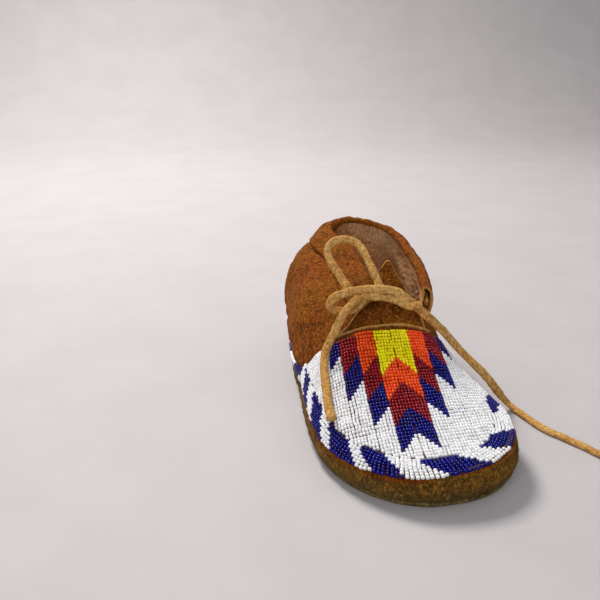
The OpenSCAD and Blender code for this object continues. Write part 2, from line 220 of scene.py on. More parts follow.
def wall(side, s, q):
    s, q = np.broadcast_arrays(np.asarray(s, float), np.asarray(q, float))
    t = np.clip(s / JOIN, 0, 1)[..., None]
    start = front_edge(side, np.clip(q, 0, 1))
    end = plain_wall(side, np.full_like(q, JOIN), q)
    over = plain_wall(side, np.full_like(q, JOIN + 0.02), q)
    swing = np.sin(np.pi * np.clip(q, 0, 1))[..., None]
    leave = 0.9 * (end - start) + np.array([side * BULGE_START, 0, 0]) * swing
    arrive = (over - end) * JOIN / 0.02
    joined = ((2 * t**3 - 3 * t**2 + 1) * start + (t**3 - 2 * t**2 + t) * leave
              + (3 * t**2 - 2 * t**3) * end + (t**3 - t**2) * arrive)
    far = plain_wall(side, np.maximum(s, JOIN), q)
    return np.where((s < JOIN)[..., None], joined, far)


def unit(v):
    return v / np.maximum(np.linalg.norm(v, axis=-1, keepdims=True), 1e-9)


def normals_of(skin, u, v, step=0.004):
    du = skin(np.minimum(u + step, 1), v) - skin(np.maximum(u - step, 0), v)
    dv = skin(u, np.minimum(v + step, 1)) - skin(u, np.maximum(v - step, 0))
    return unit(np.cross(du, dv))


def wall_out(side, s, q):
    """Outward normal of the wall."""
    n = normals_of(lambda u, v: wall(side, u, v), s, q)
    return n if side > 0 else -n


def wall_height(side, s):
    """Length of the wall from welt to collar."""
    q = np.linspace(0, 1, 40)
    line = wall(side, np.full_like(q, s), q)
    return float(np.linalg.norm(np.diff(line, axis=0), axis=1).sum())


def ripple(points, size, seed, waves=9):
    """Soft repeatable unevenness between about -1 and 1, its bumps roughly size mm across."""
    draw = np.random.default_rng(seed)
    total = np.zeros(points.shape[:-1])
    for _ in range(waves):
        direction = unit(draw.normal(size=3)) * 2 * np.pi / size * draw.uniform(0.6, 1.5)
        total += np.sin(points @ direction + draw.uniform(0, 6.28))
    return total / math.sqrt(waves) / 1.4


# ---------------------------------------------------------------- meshes
def add_mesh(name, points, faces, materials, body, indices=None):
    """A smooth mesh in millimetres, riding on its body, with a material index for each face."""
    mesh = bpy.data.meshes.new(name)
    mesh.from_pydata((np.asarray(points) * MM).tolist(), [], faces)
    for material in materials:
        mesh.materials.append(material)
    if indices is not None:
        mesh.polygons.foreach_set("material_index", np.asarray(indices, dtype=np.int32))
    mesh.polygons.foreach_set("use_smooth", np.full(len(mesh.polygons), True))
    mesh.update()
    piece = bpy.data.objects.new(name, mesh)
    bpy.context.collection.objects.link(piece)
    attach(piece, body)
    return piece


def grid_faces(nu, nv, first=0, flip=False):
    i, j = np.meshgrid(np.arange(nu), np.arange(nv), indexing="ij")
    a = (first + i * (nv + 1) + j).ravel()
    quad = np.stack([a, a + nv + 1, a + nv + 2, a + 1], -1)
    return (quad[:, ::-1] if flip else quad).tolist()


def grid_rim(nu, nv):
    """Grid indices round the border, in order."""
    at = lambda i, j: i * (nv + 1) + j
    return ([at(i, 0) for i in range(nu)] + [at(nu, j) for j in range(nv)]
            + [at(i, nv) for i in range(nu, 0, -1)] + [at(0, j) for j in range(nv, 0, -1)])


def hide_sheet(name, outer, outward, thick, materials, body, flip=False):
    """A hide of a grid of outer points, its flesh side a thickness in and a rounded cut edge."""
    nu, nv = outer.shape[0] - 1, outer.shape[1] - 1
    out, n = outer.reshape(-1, 3), outward.reshape(-1, 3)
    count = len(out)
    rim = np.array(grid_rim(nu, nv))
    inside = out - n * thick
    along_rim = np.roll(out[rim], -1, 0) - np.roll(out[rim], 1, 0)
    away = unit(np.cross(along_rim, n[rim])) * (-1 if flip else 1)
    lip = out[rim] - n[rim] * thick * 0.5 + away * thick * 0.35
    points = np.concatenate([out, inside, lip])
    faces = grid_faces(nu, nv, 0, flip) + grid_faces(nu, nv, count, not flip)
    kinds = [0] * (nu * nv) + [1] * (nu * nv)
    m = len(rim)
    for k in range(m):
        a, b, c, d = rim[k], rim[(k + 1) % m], 2 * count + k, 2 * count + (k + 1) % m
        for quad in ([a, c, d, b], [a + count, b + count, d, c]):
            faces.append([int(w) for w in (quad[::-1] if flip else quad)])
            kinds.append(2)
    return add_mesh(name, points, faces, materials, body, kinds)


def swept(name, rings, materials, body):
    """Closed rings of points joined along their run, its two ends in the last material."""
    m, n = len(rings), len(rings[0])
    points = np.concatenate(rings)
    faces = []
    for i in range(m - 1):
        for j in range(n):
            a, b = i * n + j, i * n + (j + 1) % n
            faces.append([a, b, b + n, a + n])
    indices = [0] * len(faces) + [len(materials) - 1] * 2
    faces += [list(range(n - 1, -1, -1)), [(m - 1) * n + j for j in range(n)]]
    return add_mesh(name, points, faces, materials, body, indices)


# ---------------------------------------------------------------- materials
def new_material(name):
    material = bpy.data.materials.new(name)
    material.use_nodes = True
    return material, material.node_tree, material.node_tree.nodes["Principled BSDF"]


def noise(tree, size_mm, detail=3.0, roughness=0.55, stretch=None):
    """Noise whose features are about size_mm across."""
    place = tree.nodes.new("ShaderNodeTexCoord").outputs["Object"]
    if stretch:
        scaled = tree.nodes.new("ShaderNodeMapping")
        scaled.inputs["Scale"].default_value = stretch
        tree.links.new(place, scaled.inputs["Vector"])
        place = scaled.outputs["Vector"]
    texture = tree.nodes.new("ShaderNodeTexNoise")
    texture.inputs["Scale"].default_value = 1000 / size_mm
    texture.inputs["Detail"].default_value = detail
    texture.inputs["Roughness"].default_value = roughness
    tree.links.new(place, texture.inputs["Vector"])
    return texture.outputs["Fac"]


def levels(tree, value, low, high, out_low=0.0, out_high=1.0):
    node = tree.nodes.new("ShaderNodeMapRange")
    node.interpolation_type = "SMOOTHSTEP"
    for socket, number in zip(("From Min", "From Max", "To Min", "To Max"),
                              (low, high, out_low, out_high)):
        node.inputs[socket].default_value = number
    tree.links.new(value, node.inputs["Value"])
    return node.outputs["Result"]


def blend_colour(tree, a, b, factor):
    node = tree.nodes.new("ShaderNodeMix")
    node.data_type = "RGBA"
    for socket, value in zip((node.inputs[6], node.inputs[7]), (a, b)):
        if isinstance(value, tuple):
            socket.default_value = (*value, 1)
        else:
            tree.links.new(value, socket)
    tree.links.new(factor, node.inputs[0])
    return node.outputs[2]


def add_values(tree, a, b, share):
    node = tree.nodes.new("ShaderNodeMath")
    node.operation = "MULTIPLY_ADD"
    tree.links.new(b, node.inputs[0])
    node.inputs[1].default_value = share
    tree.links.new(a, node.inputs[2])
    return node.outputs[0]


def linear(r, g, b):
    return tuple((c / 255 / 12.92) if c <= 10 else ((c / 255 + 0.055) / 1.055) ** 2.4
                 for c in (r, g, b))


def bump(tree, shader, height, strength, distance_mm):
    node = tree.nodes.new("ShaderNodeBump")
    node.inputs["Strength"].default_value = strength
    node.inputs["Distance"].default_value = distance_mm * MM
    tree.links.new(height, node.inputs["Height"])
    tree.links.new(node.outputs["Normal"], shader.inputs["Normal"])


def suede(name, base, warm, dark, sheen=0.06, nap_mm=0.5, soil=None, relief=0.8, contrast=1.0):
    """Napped hide: broad patches, streaks, a felt of dark and pale fibres and a fuzzy relief."""
    material, tree, shader = new_material(name)
    nap = noise(tree, nap_mm, 4, 0.75)
    fibre = noise(tree, 1.5, 5, 0.8, (1, 1.5, 0.7))
    blotch = noise(tree, 5, 4, 0.65, (1.3, 0.8, 1))
    patch = noise(tree, 24, 3, 0.6)
    streak = noise(tree, 10, 4, 0.6, (1.6, 0.6, 1))
    pale = tuple(min(255, c * 1.3 + 18) for c in base)
    colour = blend_colour(tree, linear(*base), linear(*warm), levels(tree, patch, 0.4, 0.6))
    colour = blend_colour(tree, colour, linear(*dark),
                          levels(tree, streak, 0.48, 0.75, 0, 0.5 * contrast))
    colour = blend_colour(tree, colour, linear(*dark),
                          levels(tree, blotch, 0.5, 0.72, 0, 0.45 * contrast))
    colour = blend_colour(tree, colour, linear(*dark),
                          levels(tree, fibre, 0.49, 0.62, 0, min(1, 0.85 * contrast)))
    colour = blend_colour(tree, colour, linear(*pale),
                          levels(tree, fibre, 0.47, 0.37, 0, 0.6 * contrast))
    if soil:
        place = tree.nodes.new("ShaderNodeSeparateXYZ")
        tree.links.new(tree.nodes.new("ShaderNodeTexCoord").outputs["Object"], place.inputs[0])
        low = levels(tree, place.outputs["Z"], soil[1] * MM, soil[2] * MM, 1, 0)
        rubbed = tree.nodes.new("ShaderNodeMath")
        rubbed.operation = "MULTIPLY"
        tree.links.new(low, rubbed.inputs[0])
        tree.links.new(levels(tree, blotch, 0.3, 0.6, 0.25, 0.95), rubbed.inputs[1])
        colour = blend_colour(tree, colour, linear(*soil[0]), rubbed.outputs[0])
    tree.links.new(colour, shader.inputs["Base Color"])
    tree.links.new(levels(tree, fibre, 0.3, 0.7, 0.85, 1.0), shader.inputs["Roughness"])
    shader.inputs["Specular IOR Level"].default_value = 0.08
    shader.inputs["Sheen Weight"].default_value = sheen
    shader.inputs["Sheen Roughness"].default_value = 0.5
    shader.inputs["Sheen Tint"].default_value = (0.9, 0.55, 0.25, 1)
    bump(tree, shader, add_values(tree, fibre, nap, 0.6), relief, 0.9)
    return material


def bead_glass(name, colour, deep):
    """Opaque glass: each bead a little lighter or darker, with faint swirls and specks of dust."""
    material, tree, shader = new_material(name)
    tone = tree.nodes.new("ShaderNodeAttribute")
    tone.attribute_name = "tone"
    swirl = noise(tree, 1.1, 3, 0.6)
    body = blend_colour(tree, linear(*colour), linear(*deep),
                        levels(tree, tone.outputs["Fac"], 0.35, 1, 0, 0.7))
    body = blend_colour(tree, body, linear(*deep), levels(tree, swirl, 0.45, 0.8, 0, 0.35))
    tree.links.new(body, shader.inputs["Base Color"])
    tree.links.new(levels(tree, swirl, 0.3, 0.8, 0.2, 0.38), shader.inputs["Roughness"])
    shader.inputs["Specular IOR Level"].default_value = 0.3
    bump(tree, shader, swirl, 0.08, 0.15)
    return material


def thread_material(name, colour):
    material, tree, shader = new_material(name)
    ply = tree.nodes.new("ShaderNodeTexWave")
    ply.inputs["Scale"].default_value = 900
    ply.inputs["Distortion"].default_value = 2
    tree.links.new(tree.nodes.new("ShaderNodeTexCoord").outputs["Object"], ply.inputs["Vector"])
    fibres = noise(tree, 0.5, 4, 0.6)
    dark = tuple(c * 0.6 for c in colour)
    mixed = blend_colour(tree, linear(*colour), linear(*dark),
                         levels(tree, fibres, 0.4, 0.7, 0, 0.6))
    tree.links.new(mixed, shader.inputs["Base Color"])
    tree.links.new(levels(tree, fibres, 0.3, 0.7, 0.6, 0.9), shader.inputs["Roughness"])
    bump(tree, shader, add_values(tree, fibres, ply.outputs["Fac"], 0.7), 0.5, 0.2)
    return material


upper_suede = suede("upper_suede", (146, 82, 14), (146, 70, 16), (70, 34, 4), relief=1.0,
                    contrast=1.6)
flesh_suede = suede("flesh_suede", (232, 178, 130), (216, 148, 96), (150, 96, 58), contrast=0.8)
cut_edge = suede("cut_edge", (226, 172, 96), (208, 148, 76), (150, 100, 44), contrast=0.6)
tongue_suede = suede("tongue_suede", (144, 84, 18), (136, 74, 18), (70, 38, 6), contrast=1.4)
welt_suede = suede("welt_suede", (142, 98, 32), (122, 84, 30), (62, 42, 14),
                   soil=((84, 76, 48), 2, 13), relief=1.2, contrast=1.4)
rawhide = suede("rawhide", (128, 108, 64), (108, 88, 50), (70, 54, 28), sheen=0.05)
lace_hide = suede("lace_hide", (230, 176, 104), (216, 156, 84), (140, 92, 40), nap_mm=0.4,
                  contrast=0.85)
thread = thread_material("thread", (222, 208, 172))
dark_thread = thread_material("dark_thread", (116, 76, 34))
glass = {
    "yellow": bead_glass("bead_yellow", (255, 248, 0), (246, 214, 0)),
    "orange": bead_glass("bead_orange", (255, 92, 16), (236, 56, 8)),
    "red": bead_glass("bead_red", (154, 2, 24), (92, 0, 12)),
    "navy": bead_glass("bead_navy", (2, 4, 124), (0, 0, 58)),
    "white": bead_glass("bead_white", (255, 255, 255), (232, 228, 228)),
}

# ---------------------------------------------------------------- the lace
LACE_WIDTH, LACE_THICK = 5.0, 3.2
FLOOR_THICK = 2.6  # pressed a little flatter where it lies on the floor
KNOT_ROUTE = [(-10.5, -6, 67.5), (-14.5, -9.5, 63), (-20, -11.5, 59.5), (-26.5, -13, 59.5),
    (-31.5, -14.5, 61.5), (-33.5, -15.5, 64.5), (-32, -15.5, 68), (-27, -15, 70),
    (-20, -13.5, 71), (-13, -12.5, 71), (-5, -12, 70.5), (3, -12.5, 69), (9, -14.5, 65.5)]
TURN_ROUTE = [(-14, -9.5, 66.5), (-9, -11, 66), (-4, -12, 66), (2, -13.5, 65), (7, -16, 63),
    (10.5, -18.8, 62), (13.5, -20.2, 63), (15.2, -19, 63.2)]
LOOP_ROUTE = [(-18.5, -9.5, 66), (-21.5, -6, 70), (-24, -1, 74), (-26.5, 3.5, 78),
    (-28.5, 8.5, 81.5), (-29, 13, 85.5), (-25.5, 17, 89), (-18, 19.5, 90), (-11.5, 17.5, 88),
    (-8.5, 12, 84.5), (-7, 6.5, 80), (-5.5, 1, 76), (-4, -4.5, 71), (-3, -9, 66)]
SHORT_ROUTE = [
    (-17, -11.8, 67), (-20, -14, 64.8), (-24, -16.5, 62), (-28, -19, 58), (-31, -20.5, 52.5),
    (-34, -21, 46.5), (-36.5, -22, 41), (-38.5, -27, 36), (-39.5, -34, 32),
    (-40.5, -43, 28.8), (-41.5, -53, 25.8), (-42, -62, 23.5)]
LONG_ROUTE = [(6, -13.4, 67.4), (12.5, -17, 62.5), (17, -19.5, 58.5), (23, -20, 53),
    (29.5, -20, 46.5), (35.5, -20.5, 39.5), (41, -22.5, 33.5), (46, -26, 28.5), (51, -28, 23.5),
    (56.5, -28, 17), (61.5, -27.5, 10.5), (66, -28.5, 5), (70, -33, 1.8), (72, -40, 1.4),
    (74, -48, 1.4), (77, -56, 1.4), (82, -64, 1.4), (88, -74, 1.4), (93, -84, 1.4),
    (98, -93, 1.4), (105, -99, 1.4), (113, -100, 1.4), (120, -94, 1.4)]


def thong_mesh(name, route, up, body, seed):
    """A buckskin thong along a route: an oval section, a little uneven, with cut ends."""
    steps = int(np.linalg.norm(np.diff(route, axis=0), axis=1).sum() / 0.7)
    f = np.linspace(0, 1, steps + 1)
    centre = curve(route, f)
    ahead = unit(np.gradient(centre, axis=0))
    raised = smooth((centre[:, 2:] - 2) / 9)  # 0 where it lies on the floor
    across = unit(np.cross(mix(np.array([0, 0, 1.0]), unit(np.array(up, float)), raised), ahead))
    over = np.cross(ahead, across)
    angle = np.linspace(0, 2 * np.pi, 20, endpoint=False)
    flat = np.sign(np.cos(angle)) * np.abs(np.cos(angle)) ** 0.8
    high = np.sign(np.sin(angle)) * np.abs(np.sin(angle)) ** 0.8
    wide = LACE_WIDTH / 2 * (0.9 + 0.07 * ripple(centre, 22, seed))
    thick = (mix(FLOOR_THICK, LACE_THICK, raised[:, 0]) / 2
             * (0.95 + 0.08 * ripple(centre, 15, seed + 1)))
    rings = (centre[:, None] + across[:, None] * (wide[:, None] * flat)[..., None]
             + over[:, None] * (thick[:, None] * high)[..., None])
    fuzz = 0.16 * ripple(rings, 4.5, seed + 2) + 0.1 * ripple(rings, 1.8, seed + 3)
    rings += unit(rings - centre[:, None]) * fuzz[..., None]
    rings[..., 2] = np.maximum(rings[..., 2], 0.1)  # it rests on the floor
    return swept(name, list(rings), [lace_hide, cut_edge], body), centre


def thong(name, route, up, body, node, seed):
    """A thong that stands for a node of the frame, and hides that node."""
    piece, centre = thong_mesh(name, route, up, body, seed)
    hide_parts(node)


thong("lace_knot", KNOT_ROUTE, (0, -0.7, 0.7), "shoe", "bow_knot", 3)
knot_turn, _ = thong_mesh("lace_knot_turn", TURN_ROUTE, (0, -0.7, 0.7), "shoe", 11)
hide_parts("bow_knot")
thong("lace_loop", LOOP_ROUTE, (0, -0.8, 0.6), "bow_loop", "bow_loop", 5)
thong("lace_short_end", SHORT_ROUTE, (0, -0.3, 1), "shoe", "lace_end_short", 7)
thong("lace_long_end", LONG_ROUTE, (-0.1, -0.85, 0.5), "shoe", "lace_end_long", 9)


# ---------------------------------------------------------------- vamp, quarters, sole
def grid(nu, nv):
    return np.meshgrid(np.linspace(0, 1, nu + 1), np.linspace(0, 1, nv + 1), indexing="ij")


u, v = grid(90, 70)
outer = vamp_skin(u, v)
vamp_piece = hide_sheet("vamp_hide", outer, normals_of(vamp_skin, u, v), HIDE,
                        [upper_suede, flesh_suede, welt_suede], "shoe")
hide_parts("vamp")

SIDES = {-1: "left", 1: "right"}
for side, word in SIDES.items():
    u, v = grid(190, 80)
    s, q = u * 0.999, mix(0.0, 0.995, v)
    outer = wall(side, s, q)
    out = wall_out(side, s, q)
    free = smooth(q / 0.25) * smooth((1 - q) / 0.2)
    folds = (0.9 * ripple(outer, 34, 11 + side) + 0.35 * ripple(outer, 13, 21 + side)
             + 0.2 * ripple(outer, 3.5, 25 + side))
    outer = outer + out * (free * smooth(s / 0.12) * folds)[..., None]
    piece = hide_sheet(f"quarter_{word}_hide", outer, out, HIDE,
                       [upper_suede, flesh_suede, cut_edge], "shoe", flip=side < 0)
    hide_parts(f"quarter_{word}")


def heel_skin(u, v):
    share = 1 - 0.09 * np.abs(2 * u - 1)
    q = mix(0.2, 0.82, v)
    return np.where((u < 0.5)[..., None], wall(-1, share, q), wall(1, share, q))


u, v = grid(24, 40)
strip = heel_skin(u, v)
strip_out = -normals_of(heel_skin, u, v)
outer = strip + strip_out * (1.5 + 0.15 * ripple(strip, 9, 31))[..., None]
piece = hide_sheet("back_seam_strip", outer, strip_out, 1.2, [upper_suede, flesh_suede, cut_edge],
                   "shoe", flip=True)
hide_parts("back_seam")

# The sole: a thick plate with a rounded, slightly wavy edge
SOLE_THICK = 3.5
ring_count = 260
g = np.linspace(-1, 1, ring_count, endpoint=False)
SOLE_LEVELS = [(0.0, 12), (0.0, 2.6), (0.35, 1.5), (1.2, 0.9), (2.2, 1.0), (3.0, 1.8), (3.5, 3.4),
               (3.5, 12)]
rings = []
for z, inset in SOLE_LEVELS:
    x, y = edge(g, 1 - inset / HALF_WIDTH)
    ring = np.stack([x, y, np.full_like(x, z)], -1)
    ring[:, :2] += (0.25 * ripple(ring * [1, 1, 0], 17, 51))[:, None] * (inset < 4)
    rings.append(ring)
sole_piece = swept("sole_plate", rings, [rawhide, flesh_suede], "shoe")
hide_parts("sole")


# The welt: a rolled strip from under the beads down and in to the sole
def welt_section(g, f):
    """f 0 at the sole to 1 at the top edge."""
    inset = np.interp(f, [0, 0.08, 0.22, 0.42, 0.68, 0.87, 1],
                      [3.4, 1.2, -0.5, -1.3, -0.9, 0.5, 2.6])
    x, y = edge(g, 1 - inset / HALF_WIDTH)
    top_x, top_y = edge(g, 1.0)
    top = welt_top(top_x, top_y) + WELT_RISE
    return np.stack([x, y, 1.6 + (top - 1.6) * f], -1)


WELT_JOINT = 0.62  # share of the way round from toe to heel
WELT_THICK = 1.5
WELT_RISE = 1.9
for name, node, spans in (("welt_front_strip", "welt_front", [(-WELT_JOINT, WELT_JOINT)]),
                          ("welt_rear_strip", "welt_rear", [(-0.999, -WELT_JOINT - 0.004),
                                                            (WELT_JOINT + 0.004, 0.999)])):
    parts = []
    for k, (g0, g1) in enumerate(spans):
        u, v = grid(int(260 * (g1 - g0)), 26)
        skin = lambda u, v: welt_section(mix(g0, g1, u), v)
        outer = skin(u, v)
        out = normals_of(skin, u, v)
        lumps = (0.4 * ripple(outer, 12, 61) + 0.2 * ripple(outer, 4.5, 62)
                 + 0.2 * ripple(outer, 2.4, 63))
        outer = outer + out * (smooth(v * 4) * lumps)[..., None]
        suffix = "" if len(spans) == 1 else ("_left", "_right")[k]
        parts.append(hide_sheet(name + suffix, outer, out, WELT_THICK,
                                [welt_suede, flesh_suede, welt_suede], "shoe"))
    for part in parts:
        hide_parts(node)


# ---------------------------------------------------------------- tongue
TONGUE_LEANS, TONGUE_LONG, TONGUE_Z = (35, 65), 36.5, 51.0


def tongue_skin(u, v):
    r = 2 * u - 1
    lean = np.radians(TONGUE_LEANS[0] + (TONGUE_LEANS[1] - TONGUE_LEANS[0]) * v / 2)
    left = mix(-22.5, -3.0, smooth(v / 0.66))
    right = mix(20.5, 6.0, smooth(v / 1.3) / smooth(1 / 1.3))
    corner = np.where(r < 0.6, 6.5 * (0.6 - r), 0) * np.maximum(0, v - 0.6) ** 2 * 6.25
    return np.stack([mix(left, right, u),
                     SEAM_Y + 0.9 + TONGUE_LONG * v * np.cos(lean),
                     TONGUE_Z + TONGUE_LONG * v * np.sin(lean)
                     - 5.0 * r * r * np.clip(1 - 1.4 * v, 0, 1) - corner], -1)


u, v = grid(60, 70)
outer = tongue_skin(u, v)
out = normals_of(tongue_skin, u, v)
outer = outer + out * (smooth(v / 0.15) * (1.1 * ripple(outer, 19, 71)
                                           + 0.3 * ripple(outer, 8, 72)))[..., None]
tongue_piece = hide_sheet("tongue_hide", outer, out, 1.5, [tongue_suede, flesh_suede, cut_edge],
                          "tongue")
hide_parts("tongue")

# The raw edge left standing along the tongue's seam
r = np.linspace(-0.62, 0.62, 90)
seam_line = vamp_at(r, vamp_rear(r))
seam_line[:, 2] += 0.1 + 0.25 * ripple(seam_line, 14, 81)
seam_line[:, 1] += 0.35 * ripple(seam_line, 13, 82)
ahead = unit(np.gradient(seam_line, axis=0))
upright = np.array([0, -0.45, 1.0])
stand = unit(upright - ahead * (ahead @ upright)[:, None])
flank = np.cross(ahead, stand)
section = [(-0.55, -1.5), (0.55, -1.5), (0.5, 0.8), (0.25, 1.3), (-0.25, 1.3), (-0.5, 0.8)]
rings = []
for i, p in enumerate(seam_line):
    tall = 1 + 0.12 * math.sin(0.23 * i) + 0.05 * math.sin(1.1 * i)
    rings.append(np.array([p + flank[i] * a + stand[i] * b * tall for a, b in section]))
swept("tongue_seam_edge", rings, [cut_edge], "shoe")

# ---------------------------------------------------------------- cuffs and drawstring
CUFF_HEIGHT = 13.0
CUFF_PATH = [(CUFF_HEIGHT + 0.3, 1.9), (11, 2.5), (8, 4.1), (5, 4.9), (2, 4.5), (-0.3, 3.3),
             (-1.6, 1.4), (-1.5, -0.5), (0.5, -1.3)]
CUFF_THICK = 1.4


def cuff_points(side, s, count=34):
    """The cuff's middle line at station s, as [below the collar, out from the wall]."""
    path = curve(CUFF_PATH, np.linspace(0, 1, count))
    q = 1 - path[:, 0] / wall_height(side, s)
    ss = np.full(count, s)
    above = (np.maximum(q - 1, 0) * wall_height(side, s))[:, None] * [0, 0, 1]
    base = wall(side, ss, np.minimum(q, 1)) + above
    return base + wall_out(side, ss, np.clip(q, 0, 0.99)) * path[:, 1:]


for side, word in SIDES.items():
    stations = np.linspace(0.0, 0.9995, 150)
    sheet = np.array([cuff_points(side, s) for s in stations])
    out = unit(np.cross(np.gradient(sheet, axis=0), np.gradient(sheet, axis=1)))
    out = -out if np.mean(out[75, :12] @ (sheet[75, 5] - sheet[75, -1])) < 0 else out
    loose = (0.35 * ripple(sheet, 17, 91 + side) + 0.2 * ripple(sheet, 7, 95 + side)
             + 0.12 * ripple(sheet, 3, 97 + side))
    outer = sheet + out * (CUFF_THICK / 2 + loose)[..., None]
    piece = hide_sheet(f"cuff_{word}_roll", outer, out, CUFF_THICK,
                       [upper_suede, flesh_suede, cut_edge], "shoe", flip=side > 0)
    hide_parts(f"cuff_{word}")

# The drawstring runs inside both casings, round the heel
CASING_DEPTH = 5.5
casing = np.linspace(0.02, 0.985, 90)
line = []
for side, stations in ((-1, casing), (1, casing[::-1])):
    for s in stations:
        q = np.array([1 - CASING_DEPTH / wall_height(side, s)])
        line.append((wall(side, np.array([s]), q) + wall_out(side, np.array([s]), q) * 2.2)[0])
line = np.array(line)
ahead = unit(np.gradient(line, axis=0))
out = unit(np.cross(ahead, [0, 0, 1.0]))
high = np.cross(out, ahead)
angle = np.linspace(0, 2 * np.pi, 12, endpoint=False)
rings = (line[:, None] + out[:, None] * (1.2 * np.cos(angle))[None, :, None]
         + high[:, None] * (2.3 * np.sin(angle))[None, :, None])
piece = swept("drawstring_thong", list(rings), [lace_hide, cut_edge], "shoe")
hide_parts("drawstring")

# ---------------------------------------------------------------- beads
BEAD_PITCH, ROW_PITCH = 1.55, 2.05
PROFILE = [(-0.40, 0.26), (-0.48, 0.60), (-0.37, 0.92), (0, 1.0), (0.37, 0.92), (0.48, 0.60),
           (0.40, 0.26)]
BEAD_SIDES = 8


def bead_template():
    points, faces = [], []
    n, m = BEAD_SIDES, len(PROFILE)
    for t, r in PROFILE:
        for k in range(n):
            a = 2 * math.pi * (k + 0.5) / n
            points.append((t, r * math.cos(a), r * math.sin(a)))
    for i in range(m - 1):
        for k in range(n):
            a, b = i * n + k, i * n + (k + 1) % n
            faces.append([a, b, b + n, a + n][::-1])
    faces += [list(range(n)), [(m - 1) * n + k for k in range(n - 1, -1, -1)]]
    return np.array(points), faces


TEMPLATE, TEMPLATE_FACES = bead_template()


def bead_mesh(name, colour, beads, node):
    """beads: rows of centre, string direction and outward normal."""
    centre, run, out = (np.array([b[k] for b in beads]) for k in range(3))
    count = len(centre)
    run = unit(run + 0.05 * rng.normal(size=run.shape))
    side = unit(np.cross(out, run))
    up = np.cross(run, side)
    lengthwise, sideways = ripple(centre, 7, 301), ripple(centre, 10, 302)
    centre = centre + run * (0.26 * lengthwise)[:, None] + side * (0.3 * sideways)[:, None]
    centre += 0.06 * rng.normal(size=centre.shape)
    long = BEAD_PITCH * 0.985 * rng.uniform(0.95, 1.03, count)
    radius = ROW_PITCH / 2 * 0.975 * rng.uniform(0.94, 1.05, count)
    t = TEMPLATE
    points = (centre[:, None] + run[:, None] * (t[:, 0] * long[:, None])[..., None]
              + side[:, None] * (t[:, 1] * radius[:, None])[..., None]
              + up[:, None] * (t[:, 2] * 0.94 * radius[:, None])[..., None]).reshape(-1, 3)
    faces = [[i + k * len(t) for i in f] for k in range(count) for f in TEMPLATE_FACES]
    piece = add_mesh(name, points, faces, [glass[colour]], "shoe")
    tone = piece.data.attributes.new("tone", "FLOAT", "POINT")
    tone.data.foreach_set("value", np.repeat(rng.uniform(0, 1, count), len(t)).astype(np.float32))
    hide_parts(node)


# Lane round the sole: strings square to the edge, counted in beads
LANE_BEADS = 6
LANE_END = 0.487
LANE_OUTER = 0.975
LANE_LEAN = 0.055
FRONT_NAVY = [(-0.475, -0.43), (-0.39, -0.335), (-0.30, -0.235), (-0.20, -0.13), (-0.05, 0.03),
              (0.095, 0.165), (0.245, 0.29), (0.36, 0.42)]
lane = {"navy": [], "white": []}
fine = np.linspace(-LANE_END, LANE_END, 4000)
mid = dome(*edge(fine, 0.9))
run_length = np.concatenate([[0], np.cumsum(np.linalg.norm(np.diff(mid, axis=0), axis=1))])
strings = int(run_length[-1] / ROW_PITCH)
string_g = np.interp((np.arange(strings) + 0.5) / strings * run_length[-1], run_length, fine)
inner_line = []
for g in string_g:
    # it runs down to the welt where the vamp gets steep
    low = 0.997 if g > 0 else 0.988
    rho = np.linspace(mix(LANE_OUTER, low, smooth((abs(g) - 0.22) / 0.2)), 0.5, 300)
    line = dome(*edge(np.full_like(rho, g), rho))
    step = np.concatenate([[0], np.cumsum(np.linalg.norm(np.diff(line, axis=0), axis=1))])
    at = lambda d: np.array([np.interp(d, step, line[:, i]) for i in range(3)])
    ahead = unit(dome(*edge(g + 0.002, 0.9)) - dome(*edge(g - 0.002, 0.9)))
    beads_here = LANE_BEADS + (1 if abs(g) < 0.2 else 0)
    jitter = rng.uniform(-0.12, 0.12)
    for b in range(beads_here):
        d = BEAD_PITCH * (b + 0.5) + jitter
        run = unit(at(d + 0.6) - at(d - 0.6 if d > 0.6 else 0))
        out = unit(np.cross(ahead, run))
        out = out if out[2] > 0 else -out
        arch = 0.25 * math.sin(math.pi * (b + 0.5) / beads_here)
        slid = g - LANE_LEAN * (1 - (b + 0.5) / beads_here)
        navy = any(a <= slid <= c for a, c in FRONT_NAVY)
        lane["navy" if navy else "white"].append((at(d) + out * (0.85 + arch), run, out))
    inner_line.append(at(BEAD_PITCH * beads_here + 0.25)[:2])

REAR_PERIOD, REAR_NAVY, REAR_LEAN = 31.0, 0.46, 12.0
for side in SIDES:
    fine = np.linspace(0.012, 0.992, 3000)
    mid = wall(side, fine, np.full_like(fine, 0.12))
    run_length = np.concatenate([[0], np.cumsum(np.linalg.norm(np.diff(mid, axis=0), axis=1))])
    strings = int(run_length[-1] / ROW_PITCH)
    place = (np.arange(strings) + 0.5) / strings * run_length[-1]
    for s, run_at in zip(np.interp(place, run_length, fine), place):
        q = np.linspace(0.0, 0.5, 160)
        line = wall(side, np.full_like(q, s), q)
        step = np.concatenate([[0], np.cumsum(np.linalg.norm(np.diff(line, axis=0), axis=1))])
        at = lambda d: np.array([np.interp(d, step, line[:, i]) for i in range(3)])
        share = lambda d: np.array([max(0.004, np.interp(d, step, q))])
        out_at = lambda d: wall_out(side, np.array([s]), share(d))[0]
        jitter = rng.uniform(-0.12, 0.12)
        for b in range(LANE_BEADS):
            d = 0.8 + BEAD_PITCH * (b + 0.5) + jitter
            run = unit(at(d + 0.6) - at(d - 0.6))
            out = out_at(d)
            out = unit(out - run * (out @ run))
            arch = 0.25 * math.sin(math.pi * (b + 0.5) / LANE_BEADS)
            slid = (run_at - REAR_LEAN * (1 - (b + 0.5) / LANE_BEADS) + 4) % REAR_PERIOD
            lane["navy" if slid < REAR_NAVY * REAR_PERIOD else "white"].append(
                (at(d) + out * (1.0 + arch), run, out))


